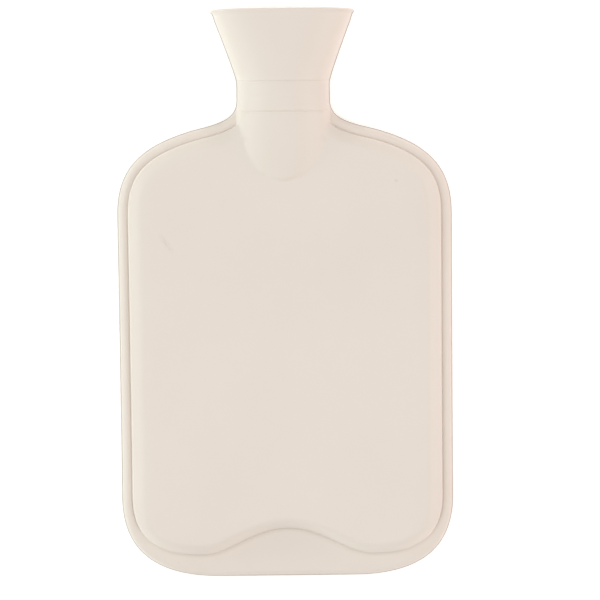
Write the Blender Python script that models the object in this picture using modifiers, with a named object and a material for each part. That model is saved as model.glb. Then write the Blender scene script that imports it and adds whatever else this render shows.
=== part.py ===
"""A moulded rubber hot water bottle that lies on its back, with its neck insert and stopper.

Metres, +Z up.  The face looks up, the mouth points along +Y and x = 0 is the middle.
It rests on its back panel, and on the back of its mouth, at z = 0.

The shell is one hollow piece of rubber.  A front and a back sheet meet in a beaded seam.
Each sheet is a grid whose lines run from the seam to the middle: over the bead, down into
the groove, up the wall of the panel, over its edge and across it.  At the neck the same lines
climb over a flattened tube, which runs out on the panel as a tongue.  A second, inner pair
of sheets is the cavity, and the two pairs are joined at the rim of the mouth.
"""

import math
from collections import namedtuple

import bmesh
import bpy
from mathutils import Vector

# ------------------------------------------------------------------ driving sizes
LENGTH = 0.338             # bottom edge to rim
MOUTH_HALF_DEPTH = 0.022
NECK_HALF_DEPTH = 0.0185
MOUTH_POWER = 3.5          # how square the mouth's oval is; 2 is an ellipse
NECK_POWER = 2.4
SPREAD_TOP = 0.294         # the mouth begins to spread here, above the bottom edge

FLANGE_WIDTH = 0.0063      # seam to the panel's foot, along the sides
BEAD_HALF = 0.0028         # half thickness of the seam's bead, and of the bottom tab
BEAD_ROUND = 0.0028
GROOVE_HALF = 0.0012
GROOVE_RUN = 0.0033        # the bead slopes into the groove over this width
SHOULDER_WIDTH = 0.0084    # the panel's edge, from its foot to where the panel is level
SHOULDER_POWER = 5.0       # how upright that edge stands; 2 is a quarter round
PANEL_HALF = 0.0095        # half thickness of the body
CROWN = 0.0014             # how much the face swells in its middle
CROWN_REACH = (0.095, 0.130)
CROWN_MIDDLE = 0.150
WALL = 0.0020

TONGUE_TOP = 0.2855
TONGUE_END = 0.2365
TONGUE_STEP = 0.0008       # its height above the panel at its lower end
TONGUE_TAPER = 3.2
BLEND = 0.0016             # rounding where two forms meet

SAG_START = 0.155          # below this the back lies flat
SAG_END = 0.292            # above this the neck is level again
BODY_MIDDLE = PANEL_HALF
NECK_MIDDLE = MOUTH_HALF_DEPTH

LIP_THICK = 0.0026
CAVITY_INSET = 0.0030      # panel's foot to the edge of the cavity
CAVITY_ROUND = 0.0055
POCKET_RADIUS = 0.0150     # where the insert sits
POCKET_TOP = 0.2968
POCKET_END = 0.2785
THROAT_RADIUS = 0.0130
THROAT_END = 0.2760
THROAT_FADE = 0.2400       # the throat has opened into the chamber here
THROAT_SPREAD = 0.0100

GAP = 0.0003
INSERT_BORE = 0.0104
WASHER_BORE = 0.0106
WASHER_RADIUS = 0.0132
WASHER_THICK = 0.0020
PLUG_RADIUS = 0.0101
PLUG_LENGTH = 0.0085
PLUG_CHAMFER = 0.0010
CAP_RADIUS = 0.0138
CAP_THICK = 0.0040
GRIP_WIDTH = 0.0230
GRIP_THICK = 0.0050
GRIP_HEIGHT = 0.0150
GRIP_SINK = 0.0010         # the grip's root inside the cap, before they are joined
EDGE_ROUND = 0.0008
TURN_STEPS = 40

# The half outline, from the corner of the mouth down to the middle of the bottom edge.
# heading is the direction of travel in degrees, and reach_in and reach_out are the lengths
# of the curve's handles.  spine is where the line that starts at the knot meets x = 0, and
# steps is the number of lines from this knot to the next.
Knot = namedtuple("Knot", "x y heading reach_in reach_out spine steps")
OUTLINE = (
    Knot(0.0431, LENGTH, -110.6, 0.000, 0.026, LENGTH, 5),
    Knot(0.0279, SPREAD_TOP, -90.0, 0.004, 0.003, SPREAD_TOP, 2),
    Knot(0.0279, TONGUE_TOP, -90.0, 0.003, 0.009, TONGUE_TOP, 6),
    Knot(0.0485, 0.2685, -13.5, 0.017, 0.043, 0.2620, 11),
    Knot(0.1001, 0.2160, -90.0, 0.025, 0.050, 0.2050, 6),
    Knot(0.0993, 0.0480, -90.0, 0.050, 0.032, 0.0700, 9),
    Knot(0.0400, 0.0000, -180.0, 0.040, 0.013, 0.0500, 8),
    Knot(0.0000, 0.0000, -180.0, 0.013, 0.000, 0.0420, 0),
)
FILLET_SPAN = 2            # neck to shoulder
CORNER_SPAN = 5            # from here on the panel's foot leaves the seam in a wave

# The panel's foot over the last two spans: round the lower corner, then in a wave.
FOOT = (
    Knot(0.0930, 0.0480, -90.0, 0.000, 0.018, 0.0, 0),
    Knot(0.0515, 0.0130, -180.0, 0.026, 0.017, 0.0, 0),
    Knot(0.0000, 0.0284, -180.0, 0.022, 0.000, 0.0, 0),
)

# The cavity from the rim down to the throat.  depth is its half height.
Bore = namedtuple("Bore", "x y depth power steps")
BORE = (
    Bore(0.0405, LENGTH, MOUTH_HALF_DEPTH - LIP_THICK, MOUTH_POWER, 5),
    Bore(0.0180, POCKET_TOP, 0.0158, 2.0, 1),
    Bore(POCKET_RADIUS, POCKET_TOP, POCKET_RADIUS, 2.0, 2),
    Bore(POCKET_RADIUS, POCKET_END, POCKET_RADIUS, 2.0, 1),
    Bore(THROAT_RADIUS, POCKET_END, THROAT_RADIUS, 2.0, 1),
    Bore(THROAT_RADIUS, THROAT_END, THROAT_RADIUS, 2.0, 6),
)
THROAT_REACH = (0.005, 0.020)      # handles of the curve from the throat to the shoulder
THROAT_SPINE = 0.2560

# Rows across a sheet, from the seam to the middle.  An "edge" row lies at a distance from
# the seam, a "foot" row at a distance from the panel's foot, and a "spine" row at a share
# of the way from there to x = 0.
Row = namedtuple("Row", "start at")
OUTER_ROWS = (
    Row("edge", 0.0), Row("edge", 0.0008), Row("edge", 0.0028),
    Row("foot", -0.0014), Row("foot", 0.0), Row("foot", 0.0005), Row("foot", 0.0030),
    Row("foot", SHOULDER_WIDTH),
    Row("spine", 0.38), Row("spine", 0.62), Row("spine", 0.82), Row("spine", 1.0),
)
INNER_ROWS = (
    Row("edge", 0.0), Row("edge", 0.0005), Row("edge", 0.0020), Row("edge", CAVITY_ROUND),
    Row("spine", 0.12), Row("spine", 0.26), Row("spine", 0.40), Row("spine", 0.54),
    Row("spine", 0.68), Row("spine", 0.80), Row("spine", 0.90), Row("spine", 1.0),
)
WELD = 0.00001

Finish = namedtuple("Finish", "colour roughness metallic")
RUBBER = Finish((0.78, 0.69, 0.60, 1.0), 0.55, 0.0)
INSERT_PLASTIC = Finish((0.72, 0.66, 0.56, 1.0), 0.45, 0.0)
SEAL_RUBBER = Finish((0.60, 0.50, 0.40, 1.0), 0.65, 0.0)
STOPPER_PLASTIC = Finish((0.80, 0.74, 0.64, 1.0), 0.40, 0.0)


# ------------------------------------------------------------------ curves and heights
def smooth_step(value, start, end):
    share = min(1.0, max(0.0, (value - start) / (end - start)))
    return share * share * (3.0 - 2.0 * share)


def smooth_max(first, second):
    """The larger of two heights, with a rounded change from one to the other."""
    width = min(BLEND, 2.0 * min(first, second))
    if width <= 0.0:
        return max(first, second)
    near = max(width - abs(first - second), 0.0) / width
    return max(first, second) + near * near * width / 4.0


def quarter_round(share):
    """A quarter circle that starts upright at 0 and ends level at 1."""
    rest = 1.0 - min(1.0, max(0.0, share))
    return math.sqrt(1.0 - rest * rest)


def shoulder_rise(share):
    """The panel's edge: an upright wall that turns over into a long, gentle slope."""
    rest = 1.0 - min(1.0, max(0.0, share))
    return (1.0 - rest * rest) ** (1.0 / SHOULDER_POWER)


def oval_height(x, half_width, half_depth, power):
    share = abs(x) / half_width if half_width > 0.0 else 1.0
    if share >= 1.0:
        return 0.0
    return half_depth * (1.0 - share ** power) ** (1.0 / power)


def heading_vector(degrees):
    return Vector((math.cos(math.radians(degrees)), math.sin(math.radians(degrees))))


def curve_between(first, second, share):
    """A point of the curve between two knots, and the inward direction there."""
    start = Vector((first.x, first.y))
    end = Vector((second.x, second.y))
    handle_out = start + heading_vector(first.heading) * first.reach_out
    handle_in = end - heading_vector(second.heading) * second.reach_in
    rest = 1.0 - share
    point = (start * rest ** 3 + handle_out * 3.0 * rest * rest * share
             + handle_in * 3.0 * rest * share * share + end * share ** 3)
    travel = ((handle_out - start) * rest * rest + (handle_in - handle_out) * 2.0 * rest * share
              + (end - handle_in) * share * share).normalized()
    return point, Vector((travel.y, -travel.x))


def middle_height(y):
    """The height of the seam, which rises from the body to the neck."""
    rise = smooth_step(y, SAG_START, SAG_END)
    return BODY_MIDDLE + (NECK_MIDDLE - BODY_MIDDLE) * rise


def crown_height(x, y):
    across = min(1.0, abs(x) / CROWN_REACH[0])
    along = min(1.0, abs(y - CROWN_MIDDLE) / CROWN_REACH[1])
    return CROWN * math.cos(across * math.pi / 2.0) * math.cos(along * math.pi / 2.0)


def body_half(reach, flange):
    """Half thickness at a distance from the seam, where the flange has this width."""
    if reach < flange:
        slope = max(0.0, 1.0 - (flange - reach) / GROOVE_RUN)
        bead = BEAD_HALF * quarter_round(reach / BEAD_ROUND)
        return bead - (BEAD_HALF - GROOVE_HALF) * slope * slope
    rise = shoulder_rise((reach - flange) / SHOULDER_WIDTH)
    return GROOVE_HALF + (PANEL_HALF - GROOVE_HALF) * rise


def tongue_half(x, y):
    """Half thickness of the neck's tube where it runs out on the panel."""
    share = (TONGUE_TOP - y) / (TONGUE_TOP - TONGUE_END)
    if share >= 1.0:
        return 0.0
    end_depth = PANEL_HALF + TONGUE_STEP
    depth = end_depth + (NECK_HALF_DEPTH - end_depth) * (1.0 - share)
    neck_share = (1.0 - (PANEL_HALF / NECK_HALF_DEPTH) ** NECK_POWER) ** (1.0 / NECK_POWER)
    level_width = OUTLINE[FILLET_SPAN].x * neck_share * math.sqrt(1.0 - share ** TONGUE_TAPER)
    level_share = (1.0 - (PANEL_HALF / depth) ** NECK_POWER) ** (1.0 / NECK_POWER)
    return oval_height(x, level_width / level_share, depth, NECK_POWER)


def throat_half(x, y):
    """Half height of the cavity where the throat opens into the chamber."""
    share = (THROAT_END - y) / (THROAT_END - THROAT_FADE)
    if share >= 1.0:
        return 0.0
    depth = THROAT_RADIUS - (THROAT_RADIUS - (PANEL_HALF - WALL)) * share
    return oval_height(x, THROAT_RADIUS + THROAT_SPREAD * share, depth, 2.0)


def locate(u, spans):
    """The span that a share of all the steps falls in, and the share of that span."""
    steps_left = u * sum(span.steps for span in spans)
    for index, span in enumerate(spans[:-1]):
        if steps_left <= span.steps:
            return index, steps_left / span.steps
        steps_left -= span.steps
    return len(spans) - 2, 1.0


def mix(first, second, share):
    return first + (second - first) * share


# ------------------------------------------------------------------ the four sheets
def row_place(row, edge, foot, ridge, spine):
    """Where a row crosses a line of the sheet, and how far from the seam that is."""
    flange = (foot - edge).length
    if row.start == "edge":
        if flange > 0.0:
            return mix(edge, foot, row.at / flange), row.at
        return mix(edge, ridge, row.at / (ridge - edge).length), row.at
    if row.start == "foot":
        if row.at < 0.0:
            return mix(foot, edge, -row.at / flange), flange + row.at
        return mix(foot, ridge, row.at / (ridge - foot).length), flange + row.at
    reach = flange + (ridge - foot).length
    return mix(ridge, spine, row.at), reach + (spine - ridge).length * row.at


def tube_place(row_index, row_count, edge, spine, power):
    """A row on the neck: even turns round the oval."""
    turn = math.cos(math.radians(90.0) * row_index / row_count)
    share = turn ** (2.0 / power) if turn > 0.000001 else 0.0
    return Vector((edge.x * share, mix(edge.y, spine.y, 1.0 - share))), edge.x * (1.0 - share)


def outer_lines(span, share):
    """Seam, foot of the panel, ridge of its shoulder and middle, on one line of a sheet."""
    edge, inward = curve_between(OUTLINE[span], OUTLINE[span + 1], share)
    foot = edge + inward * FLANGE_WIDTH
    if span >= CORNER_SPAN:
        knot = span - CORNER_SPAN
        foot, inward = curve_between(FOOT[knot], FOOT[knot + 1], share)
    spine = Vector((0.0, mix(OUTLINE[span].spine, OUTLINE[span + 1].spine, share)))
    return edge, foot, foot + inward * SHOULDER_WIDTH, spine


def outer_point(u, v, side):
    """A point of the outside, on the front sheet (side 1) or the back sheet (side -1)."""
    span, share = locate(u, OUTLINE)
    row_count = len(OUTER_ROWS) - 1
    row_index = round(v * row_count)
    edge, foot, ridge, spine = outer_lines(span, share)
    spread = max(0.0, edge.y - SPREAD_TOP) / (LENGTH - SPREAD_TOP)
    power = mix(NECK_POWER, MOUTH_POWER, spread)
    on_tube, tube_reach = tube_place(row_index, row_count, edge, spine, power)
    on_body, body_reach = row_place(OUTER_ROWS[row_index], edge, foot, ridge, spine)
    body = 0.0 if span < FILLET_SPAN else 1.0
    if span == FILLET_SPAN:
        body = smooth_step(share, 0.0, 1.0)
    place = mix(on_tube, on_body, body)
    reach = mix(tube_reach, body_reach, body)
    flange = (foot - edge).length
    if span < FILLET_SPAN:
        half = oval_height(place.x, edge.x, mix(NECK_HALF_DEPTH, MOUTH_HALF_DEPTH, spread), power)
    else:
        half = smooth_max(body_half(reach, flange), tongue_half(place.x, place.y))
    if side > 0:
        half += crown_height(place.x, place.y) * quarter_round((reach - flange) / SHOULDER_WIDTH)
    if row_index == 0:
        half = 0.0
    return shell_point(place, half * side)


def inner_lines(u):
    """Edge and middle of one line of the cavity, its oval, and its share of the body."""
    last_bore = len(BORE) - 1
    lower_spans = OUTLINE[FILLET_SPAN + 1:]
    spans = BORE + lower_spans
    span, share = locate(u, spans)
    if span < last_bore:
        first, second = BORE[span], BORE[span + 1]
        edge = Vector((mix(first.x, second.x, share), mix(first.y, second.y, share)))
        depth = mix(first.depth, second.depth, share)
        power = mix(first.power, second.power, share)
        return edge, Vector((0.0, edge.y)), depth, power, 0.0
    if span == last_bore:
        throat, start = BORE[last_bore], cavity_edge(FILLET_SPAN + 1, 0.0)
        from_throat = Knot(throat.x, throat.y, -90.0, 0.0, THROAT_REACH[0], 0.0, 0)
        heading = OUTLINE[FILLET_SPAN + 1].heading
        to_shoulder = Knot(start.x, start.y, heading, THROAT_REACH[1], 0.0, 0.0, 0)
        edge, _ = curve_between(from_throat, to_shoulder, share)
        spine = Vector((0.0, mix(throat.y, THROAT_SPINE, share)))
        return edge, spine, 0.0, 2.0, smooth_step(share, 0.0, 1.0)
    outline_span = span - last_bore + FILLET_SPAN
    edge = cavity_edge(outline_span, share)
    first = OUTLINE[outline_span].spine if outline_span > FILLET_SPAN + 1 else THROAT_SPINE
    spine = Vector((0.0, mix(first, OUTLINE[outline_span + 1].spine, share)))
    return edge, spine, 0.0, 2.0, 1.0


def cavity_edge(span, share):
    _, foot, ridge, _ = outer_lines(span, share)
    return foot + (ridge - foot).normalized() * CAVITY_INSET


def inner_point(u, v, side):
    """A point of the cavity's front sheet (side 1) or back sheet (side -1)."""
    row_count = len(INNER_ROWS) - 1
    row_index = round(v * row_count)
    edge, spine, depth, power, body = inner_lines(u)
    ridge = mix(edge, spine, min(1.0, CAVITY_ROUND / (spine - edge).length))
    on_tube, tube_reach = tube_place(row_index, row_count, edge, spine, power)
    on_body, body_reach = row_place(INNER_ROWS[row_index], edge, edge, ridge, spine)
    place = mix(on_tube, on_body, body)
    reach = mix(tube_reach, body_reach, body)
    if depth > 0.0:
        half = oval_height(place.x, edge.x, depth, power)
    else:
        chamber = (PANEL_HALF - WALL) * quarter_round(reach / CAVITY_ROUND)
        half = smooth_max(chamber, throat_half(place.x, place.y))
    if side > 0:
        half += crown_height(place.x, place.y) * quarter_round(reach / CAVITY_ROUND)
    if row_index == 0:
        half = 0.0
    return shell_point(place, half * side)


def shell_point(place, offset):
    """From the drawing, whose y starts at the bottom edge, to the part's own frame."""
    return Vector((place.x, place.y - LENGTH / 2.0, middle_height(place.y) + offset))


def add_sheet(mesh, steps, rows, point_at, side):
    """A grid over u and v, each corner of which is moved to its place on the sheet."""
    grid = bmesh.ops.create_grid(mesh, x_segments=steps, y_segments=rows, size=0.5)
    for vertex in grid["verts"]:
        vertex.co = point_at(vertex.co.x + 0.5, vertex.co.y + 0.5, side)


def rim_edges(mesh):
    """The open edges of the outer and the inner sheets at the mouth."""
    rim = LENGTH / 2.0 - WELD
    return [edge for edge in mesh.edges
            if edge.is_boundary and all(vertex.co.y > rim for vertex in edge.verts)]


# ------------------------------------------------------------------ objects
def make_material(name, finish):
    material = bpy.data.materials.new(name)
    material.use_nodes = True
    shader = material.node_tree.nodes["Principled BSDF"]
    shader.inputs["Base Color"].default_value = finish.colour
    shader.inputs["Roughness"].default_value = finish.roughness
    shader.inputs["Metallic"].default_value = finish.metallic
    material.diffuse_color = finish.colour
    return material


def place_object(name, mesh_data, collection, finish=None):
    item = bpy.data.objects.new(name, mesh_data)
    collection.objects.link(item)
    if finish:
        mesh_data.materials.append(make_material(name + "_finish", finish))
    return item


def build_bottle(collection):
    """Half of the shell, open at x = 0, and a Mirror for the other half."""
    mesh = bmesh.new()
    outer_steps = sum(knot.steps for knot in OUTLINE)
    inner_steps = sum(knot.steps for knot in BORE + OUTLINE[FILLET_SPAN + 1:])
    for side in (1, -1):
        add_sheet(mesh, outer_steps, len(OUTER_ROWS) - 1, outer_point, side)
        add_sheet(mesh, inner_steps, len(INNER_ROWS) - 1, inner_point, side)
    bmesh.ops.remove_doubles(mesh, verts=mesh.verts[:], dist=WELD)
    bmesh.ops.bridge_loops(mesh, edges=rim_edges(mesh))
    bmesh.ops.recalc_face_normals(mesh, faces=mesh.faces[:])
    bmesh.ops.triangulate(mesh, faces=mesh.faces[:])
    data = bpy.data.meshes.new("bottle")
    mesh.to_mesh(data)
    mesh.free()
    data.shade_smooth()
    bottle = place_object("bottle", data, collection, RUBBER)
    mirror = bottle.modifiers.new("other_half", "MIRROR")
    mirror.merge_threshold = WELD
    return bottle


def turned_object(name, profile, collection, finish, closed):
    """A profile of (radius, height) points, turned once round Z."""
    mesh = bmesh.new()
    corners = [mesh.verts.new((radius, 0.0, height)) for radius, height in profile]
    for first, second in zip(corners, corners[1:]):
        mesh.edges.new((first, second))
    if closed:
        mesh.edges.new((corners[-1], corners[0]))
    data = bpy.data.meshes.new(name)
    mesh.to_mesh(data)
    mesh.free()
    item = place_object(name, data, collection, finish)
    screw = item.modifiers.new("turn", "SCREW")
    screw.axis = "Z"
    screw.steps = TURN_STEPS
    screw.render_steps = TURN_STEPS
    screw.use_merge_vertices = True
    screw.merge_threshold = WELD
    screw.use_smooth_shade = True
    return item


def on_neck_axis(item, y, parent):
    """Stand the item on the neck's axis with its own +Z along the part's +Y."""
    item.parent = parent
    item.location = (0.0, y, 0.0)
    item.rotation_euler = (-math.pi / 2.0, 0.0, 0.0)


def insert_profile():
    """The insert's section, from its upper outer corner round: it stands on its step."""
    radius = POCKET_RADIUS - GAP
    height = POCKET_TOP - POCKET_END - GAP
    return ((radius - EDGE_ROUND, height), (radius, height - EDGE_ROUND), (radius, 0.0),
            (INSERT_BORE, 0.0), (INSERT_BORE, height))


def washer_profile():
    return ((WASHER_RADIUS, WASHER_THICK), (WASHER_RADIUS, 0.0),
            (WASHER_BORE, 0.0), (WASHER_BORE, WASHER_THICK))


def stopper_profile():
    """Cap and plug, from the middle of the top down to the tip.  The cap's face is z = 0."""
    return ((0.0, CAP_THICK), (CAP_RADIUS - EDGE_ROUND, CAP_THICK),
            (CAP_RADIUS, CAP_THICK - EDGE_ROUND), (CAP_RADIUS, 0.0), (PLUG_RADIUS, 0.0),
            (PLUG_RADIUS, PLUG_CHAMFER - PLUG_LENGTH - WASHER_THICK),
            (PLUG_RADIUS - PLUG_CHAMFER, -PLUG_LENGTH - WASHER_THICK),
            (0.0, -PLUG_LENGTH - WASHER_THICK))


def build_grip(cutters):
    """The flat grip on the cap: a plate with rounded corners."""
    bpy.ops.mesh.primitive_cube_add(size=1.0)
    grip = bpy.context.object
    grip.name = "stopper_grip"
    for collection in grip.users_collection:
        collection.objects.unlink(grip)
    cutters.objects.link(grip)
    height = GRIP_HEIGHT + GRIP_SINK
    for vertex in grip.data.vertices:
        vertex.co.x *= GRIP_WIDTH
        vertex.co.y *= GRIP_THICK
        vertex.co.z = vertex.co.z * height + height / 2.0
    corners = bmesh.new()
    corners.from_mesh(grip.data)
    upper = [edge for edge in corners.edges
             if all(vertex.co.z > height - WELD for vertex in edge.verts)
             and abs(edge.verts[0].co.y - edge.verts[1].co.y) > WELD]
    bmesh.ops.bevel(corners, geom=upper, offset=GRIP_HEIGHT * 0.4, segments=4, profile=0.5,
                    affect="EDGES", material=-1)
    corners.to_mesh(grip.data)
    corners.free()
    rounding = grip.modifiers.new("soft_edges", "BEVEL")
    rounding.width = EDGE_ROUND
    rounding.segments = 1
    grip.hide_render = True
    grip.display_type = "WIRE"
    return grip


def build_stopper(collection, cutters, axis):
    seat = POCKET_TOP - LENGTH / 2.0
    insert = turned_object("neck_insert", insert_profile(), collection, INSERT_PLASTIC, True)
    on_neck_axis(insert, POCKET_END + GAP - LENGTH / 2.0, axis)
    washer = turned_object("sealing_washer", washer_profile(), collection, SEAL_RUBBER, True)
    on_neck_axis(washer, seat + GAP, axis)
    stopper = turned_object("stopper", stopper_profile(), collection, STOPPER_PLASTIC, False)
    on_neck_axis(stopper, seat + GAP + WASHER_THICK + GAP, axis)
    grip = build_grip(cutters)
    grip.parent = stopper
    grip.location = (0.0, 0.0, CAP_THICK - GRIP_SINK)
    joined = stopper.modifiers.new("grip", "BOOLEAN")
    joined.operation = "UNION"
    joined.solver = "EXACT"
    joined.object = grip


def build():
    for item in list(bpy.data.objects):
        bpy.data.objects.remove(item, do_unlink=True)
    scene = bpy.context.scene
    collection = bpy.data.collections.new("hot_water_bottle")
    cutters = bpy.data.collections.new("hot_water_bottle_cutters")
    scene.collection.children.link(collection)
    scene.collection.children.link(cutters)
    axis = bpy.data.objects.new("neck_axis", None)
    collection.objects.link(axis)
    axis.location = (0.0, 0.0, NECK_MIDDLE)
    build_bottle(collection)
    build_stopper(collection, cutters, axis)


build()
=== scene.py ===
"""A cream rubber hot water bottle that lies on its back, seen from straight above.

Metres, +Z up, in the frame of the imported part: the face looks up, the mouth points along +Y
and x = 0 is the middle.  The bottle is one moulded shell, its seam a bead round the edge.
Drawing sizes, like those of the outline, are measured from the bottom edge of the bottle.
"""

import math
from collections import namedtuple

import bmesh
import bpy
from mathutils import Matrix, Vector


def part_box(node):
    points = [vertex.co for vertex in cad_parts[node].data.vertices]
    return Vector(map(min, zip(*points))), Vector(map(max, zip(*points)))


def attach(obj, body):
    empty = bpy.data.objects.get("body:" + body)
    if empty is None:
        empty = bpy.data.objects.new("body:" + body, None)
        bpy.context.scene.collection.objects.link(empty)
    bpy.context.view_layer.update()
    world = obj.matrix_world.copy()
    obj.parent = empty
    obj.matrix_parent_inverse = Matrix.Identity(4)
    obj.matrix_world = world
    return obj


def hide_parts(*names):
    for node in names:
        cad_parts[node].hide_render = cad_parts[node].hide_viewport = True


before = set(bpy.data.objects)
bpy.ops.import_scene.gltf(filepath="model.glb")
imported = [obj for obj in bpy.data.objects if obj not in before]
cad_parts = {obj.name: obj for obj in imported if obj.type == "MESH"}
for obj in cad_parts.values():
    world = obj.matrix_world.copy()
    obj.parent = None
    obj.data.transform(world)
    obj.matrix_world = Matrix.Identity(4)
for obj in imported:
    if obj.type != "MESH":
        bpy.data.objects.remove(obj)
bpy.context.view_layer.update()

# ------------------------------------------------------------------ sizes from the frame
BOTTLE_LOW, BOTTLE_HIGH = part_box("bottle")
LENGTH = BOTTLE_HIGH.y - BOTTLE_LOW.y
BOTTOM_EDGE = BOTTLE_LOW.y
MOUTH_HALF_DEPTH = BOTTLE_HIGH.z / 2.0
NECK_MIDDLE = MOUTH_HALF_DEPTH

# ------------------------------------------------------------------ the shell's form
NECK_HALF_DEPTH = 0.0185
MOUTH_POWER = 3.5          # how square the mouth's oval is
NECK_POWER = 2.4
ROUND = 2.0                # the power of a plain circle or ellipse
SPREAD_TOP = 0.294         # the mouth begins to spread here

FLANGE_WIDTH = 0.0063      # seam to the panel's foot, along the sides
FLASH_WIDTH = 0.00060      # the thin line that the mould leaves along the seam
FLASH_HALF = 0.00022
FLASH_TIP = 0.6            # how thick it is at its edge, against its root
BEAD_HALF = 0.0028
BEAD_ROUND = 0.0036        # the bead's side is a quarter round of this width
TAB_HALF = 0.00245         # the tab is a little thinner than the bead round it
TAB_REACH = (0.0022, 0.0042)       # distances from the seam over which it thins
GROOVE_HALF = 0.0023       # at the bottom of the groove between bead and panel
GROOVE_RUN = 0.0033        # width of the slope down to it
CREASE_DEPTH = 0.0004      # the narrow line at the groove's bottom
CREASE_RUN = 0.0012
GROOVE_FADE = (0.0065, 0.0130)     # flange widths over which the groove gives way to the tab
TAB_FILLET = 0.0009        # the tab curves up by this much at the panel's foot
GROOVE_EASE = (0.205, 0.240)       # it is shallower and rounder along the top slope as well
EASE_LEFT = 0.35           # share of its depth that is left there
SHOULDER_WIDTH = 0.0084
SHOULDER_WALL = 0.12       # share of the shoulder's width that its upright wall takes up
SHOULDER_FALL = 0.40       # share of its height that the slope above the wall takes up
SHOULDER_BEND = 1.5        # how fast this slope turns level
WAVE_WALL = 0.04           # the same three at the tab, where the slope is short and steeper
WAVE_FALL = 0.60
WAVE_BEND = 1.9
WAVE_SLOPE = 0.72          # share of the shoulder's width that this slope takes up
PANEL_HALF = 0.0095
CROWN = 0.0014             # how far the face swells, most at CROWN_MIDDLE
CROWN_REACH = (0.095, 0.130)       # across and along the bottle
CROWN_MIDDLE = 0.150
WALL = 0.0020

TONGUE_TOP = 0.2855        # from here down the neck's tube sinks into the panel
TONGUE_END = 0.2365        # the tip of the tongue that it leaves
TONGUE_STEP = 0.0010       # how far this tip stands out of the panel
TONGUE_TAPER = 3.2         # how late its sides close
BLEND = 0.0004             # rounding where it meets the panel
FAN_START = 0.45           # share of the fillet where its lines begin to fan out
ROWS_TURN = (0.18, 0.52)   # shares of it over which the tube's rows turn into the body's

SAG_START = 0.155          # from here up the seam rises to the neck's level
SAG_END = 0.292
BODY_MIDDLE = PANEL_HALF   # the seam's height on the body that lies flat

LIP_RADIUS = 0.0013
LIP_RUN = 4.0              # lip radii over which the mouth's edge joins the lip
CAVITY_INSET = 0.0030      # from the panel's foot to the edge of the chamber
CAVITY_ROUND = 0.0055
POCKET_RADIUS = 0.0150     # the pocket in the neck holds the insert
POCKET_TOP = 0.2968
POCKET_END = 0.2785
THROAT_RADIUS = 0.0130
THROAT_END = 0.2760
THROAT_FADE = 0.2400
THROAT_SPREAD = 0.0100
WELD = 0.000004            # points nearer than this become one

# The half outline, from the corner of the mouth to the middle of the bottom edge.  heading
# is the direction of travel in degrees, reach_in and reach_out are the curve's handles,
# spine is where the line that starts at the knot meets x = 0, steps the lines to the next.
Knot = namedtuple("Knot", "x y heading reach_in reach_out spine steps")
OUTLINE = (
    Knot(0.0431, LENGTH, -110.6, 0.000, 0.026, LENGTH, 34),
    Knot(0.0279, SPREAD_TOP, -90.0, 0.004, 0.003, SPREAD_TOP, 8),
    Knot(0.0279, TONGUE_TOP, -90.0, 0.003, 0.009, TONGUE_TOP, 34),
    Knot(0.0485, 0.2684, -13.5, 0.017, 0.043, 0.2620, 72),
    Knot(0.1001, 0.2160, -90.0, 0.025, 0.050, 0.2050, 30),
    Knot(0.0993, 0.0480, -90.0, 0.050, 0.032, 0.0700, 46),
    Knot(0.0400, 0.0000, -180.0, 0.040, 0.013, 0.0500, 44),
    Knot(0.0000, 0.0000, -180.0, 0.013, 0.000, 0.0420, 0),
)
FILLET_SPAN = 2
CORNER_SPAN = 5

# The panel's foot over the last two spans: round the lower corner, then in a wave.  Its
# lines are those of the outline, so it has no spine and no steps of its own.
FOOT = (
    Knot(0.0930, 0.0480, -90.0, 0.000, 0.022, 0.0, 0),
    Knot(0.0515, 0.0130, -180.0, 0.030, 0.017, 0.0, 0),
    Knot(0.0000, 0.0284, -180.0, 0.022, 0.000, 0.0, 0),
)

# The cavity from the rim down to the throat.  depth is its half height.
Bore = namedtuple("Bore", "x y depth power steps")
BORE = (
    Bore(0.0405, LENGTH - LIP_RADIUS, MOUTH_HALF_DEPTH - 2.0 * LIP_RADIUS, MOUTH_POWER, 24),
    Bore(0.0180, POCKET_TOP, 0.0158, ROUND, 3),
    Bore(POCKET_RADIUS, POCKET_TOP, POCKET_RADIUS, ROUND, 6),
    Bore(POCKET_RADIUS, POCKET_END, POCKET_RADIUS, ROUND, 2),
    Bore(THROAT_RADIUS, POCKET_END, THROAT_RADIUS, ROUND, 2),
    Bore(THROAT_RADIUS, THROAT_END, THROAT_RADIUS, ROUND, 10),
)
THROAT_REACH = (0.005, 0.020)      # the curve's handles from the throat to the chamber
THROAT_SPINE = 0.2560              # where the line that ends this curve meets x = 0
LIP_STEPS = 5
CHAMBER_STEPS = (14, 6, 12, 12)    # lines along the cavity's last four spans

# ------------------------------------------------------------------ insert, washer, stopper
GAP = 0.0003
SEAT = POCKET_TOP                  # the insert's upper end, on which the washer lies
INSERT_BORE = 0.0104               # over the thread's crest
INSERT_ROOT = 0.0114
WASHER_BORE = 0.0106
WASHER_RADIUS = 0.0132
WASHER_THICK = 0.0020
PLUG_RADIUS = 0.0101               # over the thread's crest
PLUG_CORE = 0.0090
PLUG_LENGTH = 0.0105               # cap to tip
PLUG_CHAMFER = 0.0010
CAP_RADIUS = 0.0138
CAP_THICK = 0.0040
CAP_FACE = SEAT + GAP + WASHER_THICK + GAP
GRIP_WIDTH = 0.0230
GRIP_THICK = 0.0050
GRIP_HEIGHT = 0.0150
GRIP_CORNER = 0.0060
THREAD_PITCH = 0.0036
THREAD_HALF = 0.0011
THREAD_SINK = 0.0002               # how deep a thread's root lies in its wall
INSERT_THREAD = (0.0022, 3.8)      # where it starts above the lower end, and its turns
PLUG_THREAD = (0.0024, 1.2)        # the same above the plug's tip
TURN_STEPS = 96                    # faces round a turned piece
SOFT_EDGE = 0.0005                 # rounding of the insert's and the washer's edges
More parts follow.
